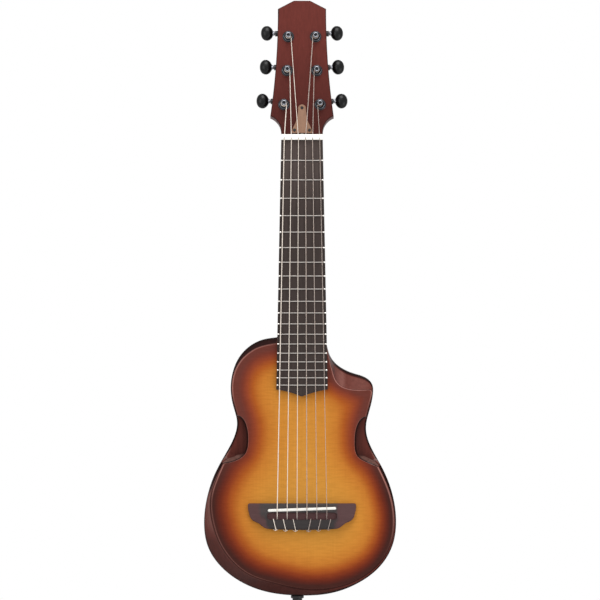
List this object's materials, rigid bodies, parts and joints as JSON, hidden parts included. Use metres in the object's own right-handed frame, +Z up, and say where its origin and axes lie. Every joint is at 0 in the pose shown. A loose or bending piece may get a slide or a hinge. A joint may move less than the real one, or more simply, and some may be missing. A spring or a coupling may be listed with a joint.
{
  "type": "guitar",
  "caption": "Small nylon-string guitar with a cutaway, carved edge bevels and waist scoops, tie-block bridge, geared tuners and an end-pin jack.",
  "frame": {"origin": "on the centre line at the playing edge of the nut, in the plane where the fretboard meets the neck: where a hanger's fork takes the neck under the head", "axes": "+Z up the neck towards the head, the strings and the top face -Y, +X towards the treble side"},
  "size_m": [0.2261, 0.0631, 0.7163],
  "materials": {
    "body_mahogany": "dark red-brown mahogany under satin lacquer",
    "sunburst_spruce": "satin spruce, amber in the middle and dark maroon at the edge",
    "brace_spruce": "bare",
    "bridge_rosewood": "open-grained, oiled",
    "bone": "polished bone",
    "pickup_strip": "satin",
    "lead_sheath": "satin",
    "black_metal": "gloss black",
    "zinc_steel": "satin",
    "contact_brass": "satin",
    "neck_mahogany": "satin red-brown mahogany",
    "board_rosewood": "open-grained, oiled",
    "nickel_frets": "polished nickel silver",
    "cover_wood": "satin, pale",
    "tuner_black": "satin black",
    "black_chrome": "black chrome",
    "knob_black": "satin black",
    "shaft_steel": "polished",
    "wheel_brass": "machined",
    "wound_string": "silver-plated wire wound on nylon",
    "clear_nylon": "clear nylon"
  },
  "bodies": {
    "root": {"body_block": "body_mahogany", "soundboard": "sunburst_spruce", "top_braces": "brace_spruce", "bridge_plate": "brace_spruce", "bridge": "bridge_rosewood", "saddle": "bone", "pickup_strip": "pickup_strip", "pickup_lead": "lead_sheath", "jack_barrel": "black_metal", "jack_strap_pin": "black_metal", "jack_inner_nut": "zinc_steel", "jack_contacts": "contact_brass", "neck": "neck_mahogany", "fretboard": "board_rosewood", "frets": "nickel_frets", "nut": "bone", "truss_rod": "zinc_steel", "truss_cover": "cover_wood", "truss_cover_screws": "black_metal", "tuner_housings": "tuner_black", "tuner_covers": "tuner_black", "tuner_bushings_and_washers": "black_chrome", "tuner_screws": "zinc_steel", "string_1": "clear_nylon", "string_2": "clear_nylon", "string_3": "clear_nylon", "string_4": "wound_string", "string_5": "wound_string", "string_6": "wound_string"},
    "truss_adjuster": {"truss_nut": "zinc_steel"},
    "button_1": {"tuner_knob_1": "knob_black", "worm_shaft_1": "shaft_steel"},
    "post_1": {"string_post_1": "black_chrome", "worm_wheel_1": "wheel_brass", "string_wrap_1": "clear_nylon"},
    "button_2": {"tuner_knob_2": "knob_black", "worm_shaft_2": "shaft_steel"},
    "post_2": {"string_post_2": "black_chrome", "worm_wheel_2": "wheel_brass", "string_wrap_2": "clear_nylon"},
    "button_3": {"tuner_knob_3": "knob_black", "worm_shaft_3": "shaft_steel"},
    "post_3": {"string_post_3": "black_chrome", "worm_wheel_3": "wheel_brass", "string_wrap_3": "clear_nylon"},
    "button_4": {"tuner_knob_4": "knob_black", "worm_shaft_4": "shaft_steel"},
    "post_4": {"string_post_4": "black_chrome", "worm_wheel_4": "wheel_brass", "string_wrap_4": "wound_string"},
    "button_5": {"tuner_knob_5": "knob_black", "worm_shaft_5": "shaft_steel"},
    "post_5": {"string_post_5": "black_chrome", "worm_wheel_5": "wheel_brass", "string_wrap_5": "wound_string"},
    "button_6": {"tuner_knob_6": "knob_black", "worm_shaft_6": "shaft_steel"},
    "post_6": {"string_post_6": "black_chrome", "worm_wheel_6": "wheel_brass", "string_wrap_6": "wound_string"}
  },
  "joints": [
    {"name": "truss_adjust", "type": "hinge", "parent": "root", "child": "truss_adjuster", "pos_m": [0, 0.005, 0.011], "axis": [0, 0, 1], "range_deg": [-180, 180]},
    {"name": "button_turn_1", "type": "hinge", "parent": "root", "child": "button_1", "pos_m": [0.0391, 0.0268, 0.04587], "axis": [1, 0, 0], "continuous": true},
    {"name": "post_turn_1", "type": "hinge", "parent": "root", "child": "post_1", "pos_m": [0.0213, 0.02504, 0.03756], "axis": [0, 0.9781, -0.2079], "continuous": true},
    {"name": "button_turn_2", "type": "hinge", "parent": "root", "child": "button_2", "pos_m": [0.0352, 0.03535, 0.08608], "axis": [1, 0, 0], "continuous": true},
    {"name": "post_turn_2", "type": "hinge", "parent": "root", "child": "post_2", "pos_m": [0.0174, 0.03358, 0.07776], "axis": [0, 0.9781, -0.2079], "continuous": true},
    {"name": "button_turn_3", "type": "hinge", "parent": "root", "child": "button_3", "pos_m": [0.0339, 0.0439, 0.12628], "axis": [1, 0, 0], "continuous": true},
    {"name": "post_turn_3", "type": "hinge", "parent": "root", "child": "post_3", "pos_m": [0.0161, 0.04213, 0.11797], "axis": [0, 0.9781, -0.2079], "continuous": true},
    {"name": "button_turn_4", "type": "hinge", "parent": "root", "child": "button_4", "pos_m": [-0.0339, 0.0439, 0.12628], "axis": [-1, 0, 0], "continuous": true},
    {"name": "post_turn_4", "type": "hinge", "parent": "root", "child": "post_4", "pos_m": [-0.0161, 0.04213, 0.11797], "axis": [0, 0.9781, -0.2079], "continuous": true},
    {"name": "button_turn_5", "type": "hinge", "parent": "root", "child": "button_5", "pos_m": [-0.0352, 0.03535, 0.08608], "axis": [-1, 0, 0], "continuous": true},
    {"name": "post_turn_5", "type": "hinge", "parent": "root", "child": "post_5", "pos_m": [-0.0174, 0.03358, 0.07776], "axis": [0, 0.9781, -0.2079], "continuous": true},
    {"name": "button_turn_6", "type": "hinge", "parent": "root", "child": "button_6", "pos_m": [-0.0391, 0.0268, 0.04587], "axis": [-1, 0, 0], "continuous": true},
    {"name": "post_turn_6", "type": "hinge", "parent": "root", "child": "post_6", "pos_m": [-0.0213, 0.02504, 0.03756], "axis": [0, 0.9781, -0.2079], "continuous": true}
  ],
  "couplings": [
    {"joint": "post_turn_1", "follows": "button_turn_1", "ratio": -0.066667},
    {"joint": "post_turn_2", "follows": "button_turn_2", "ratio": -0.066667},
    {"joint": "post_turn_3", "follows": "button_turn_3", "ratio": -0.066667},
    {"joint": "post_turn_4", "follows": "button_turn_4", "ratio": -0.066667},
    {"joint": "post_turn_5", "follows": "button_turn_5", "ratio": -0.066667},
    {"joint": "post_turn_6", "follows": "button_turn_6", "ratio": -0.066667}
  ]
}
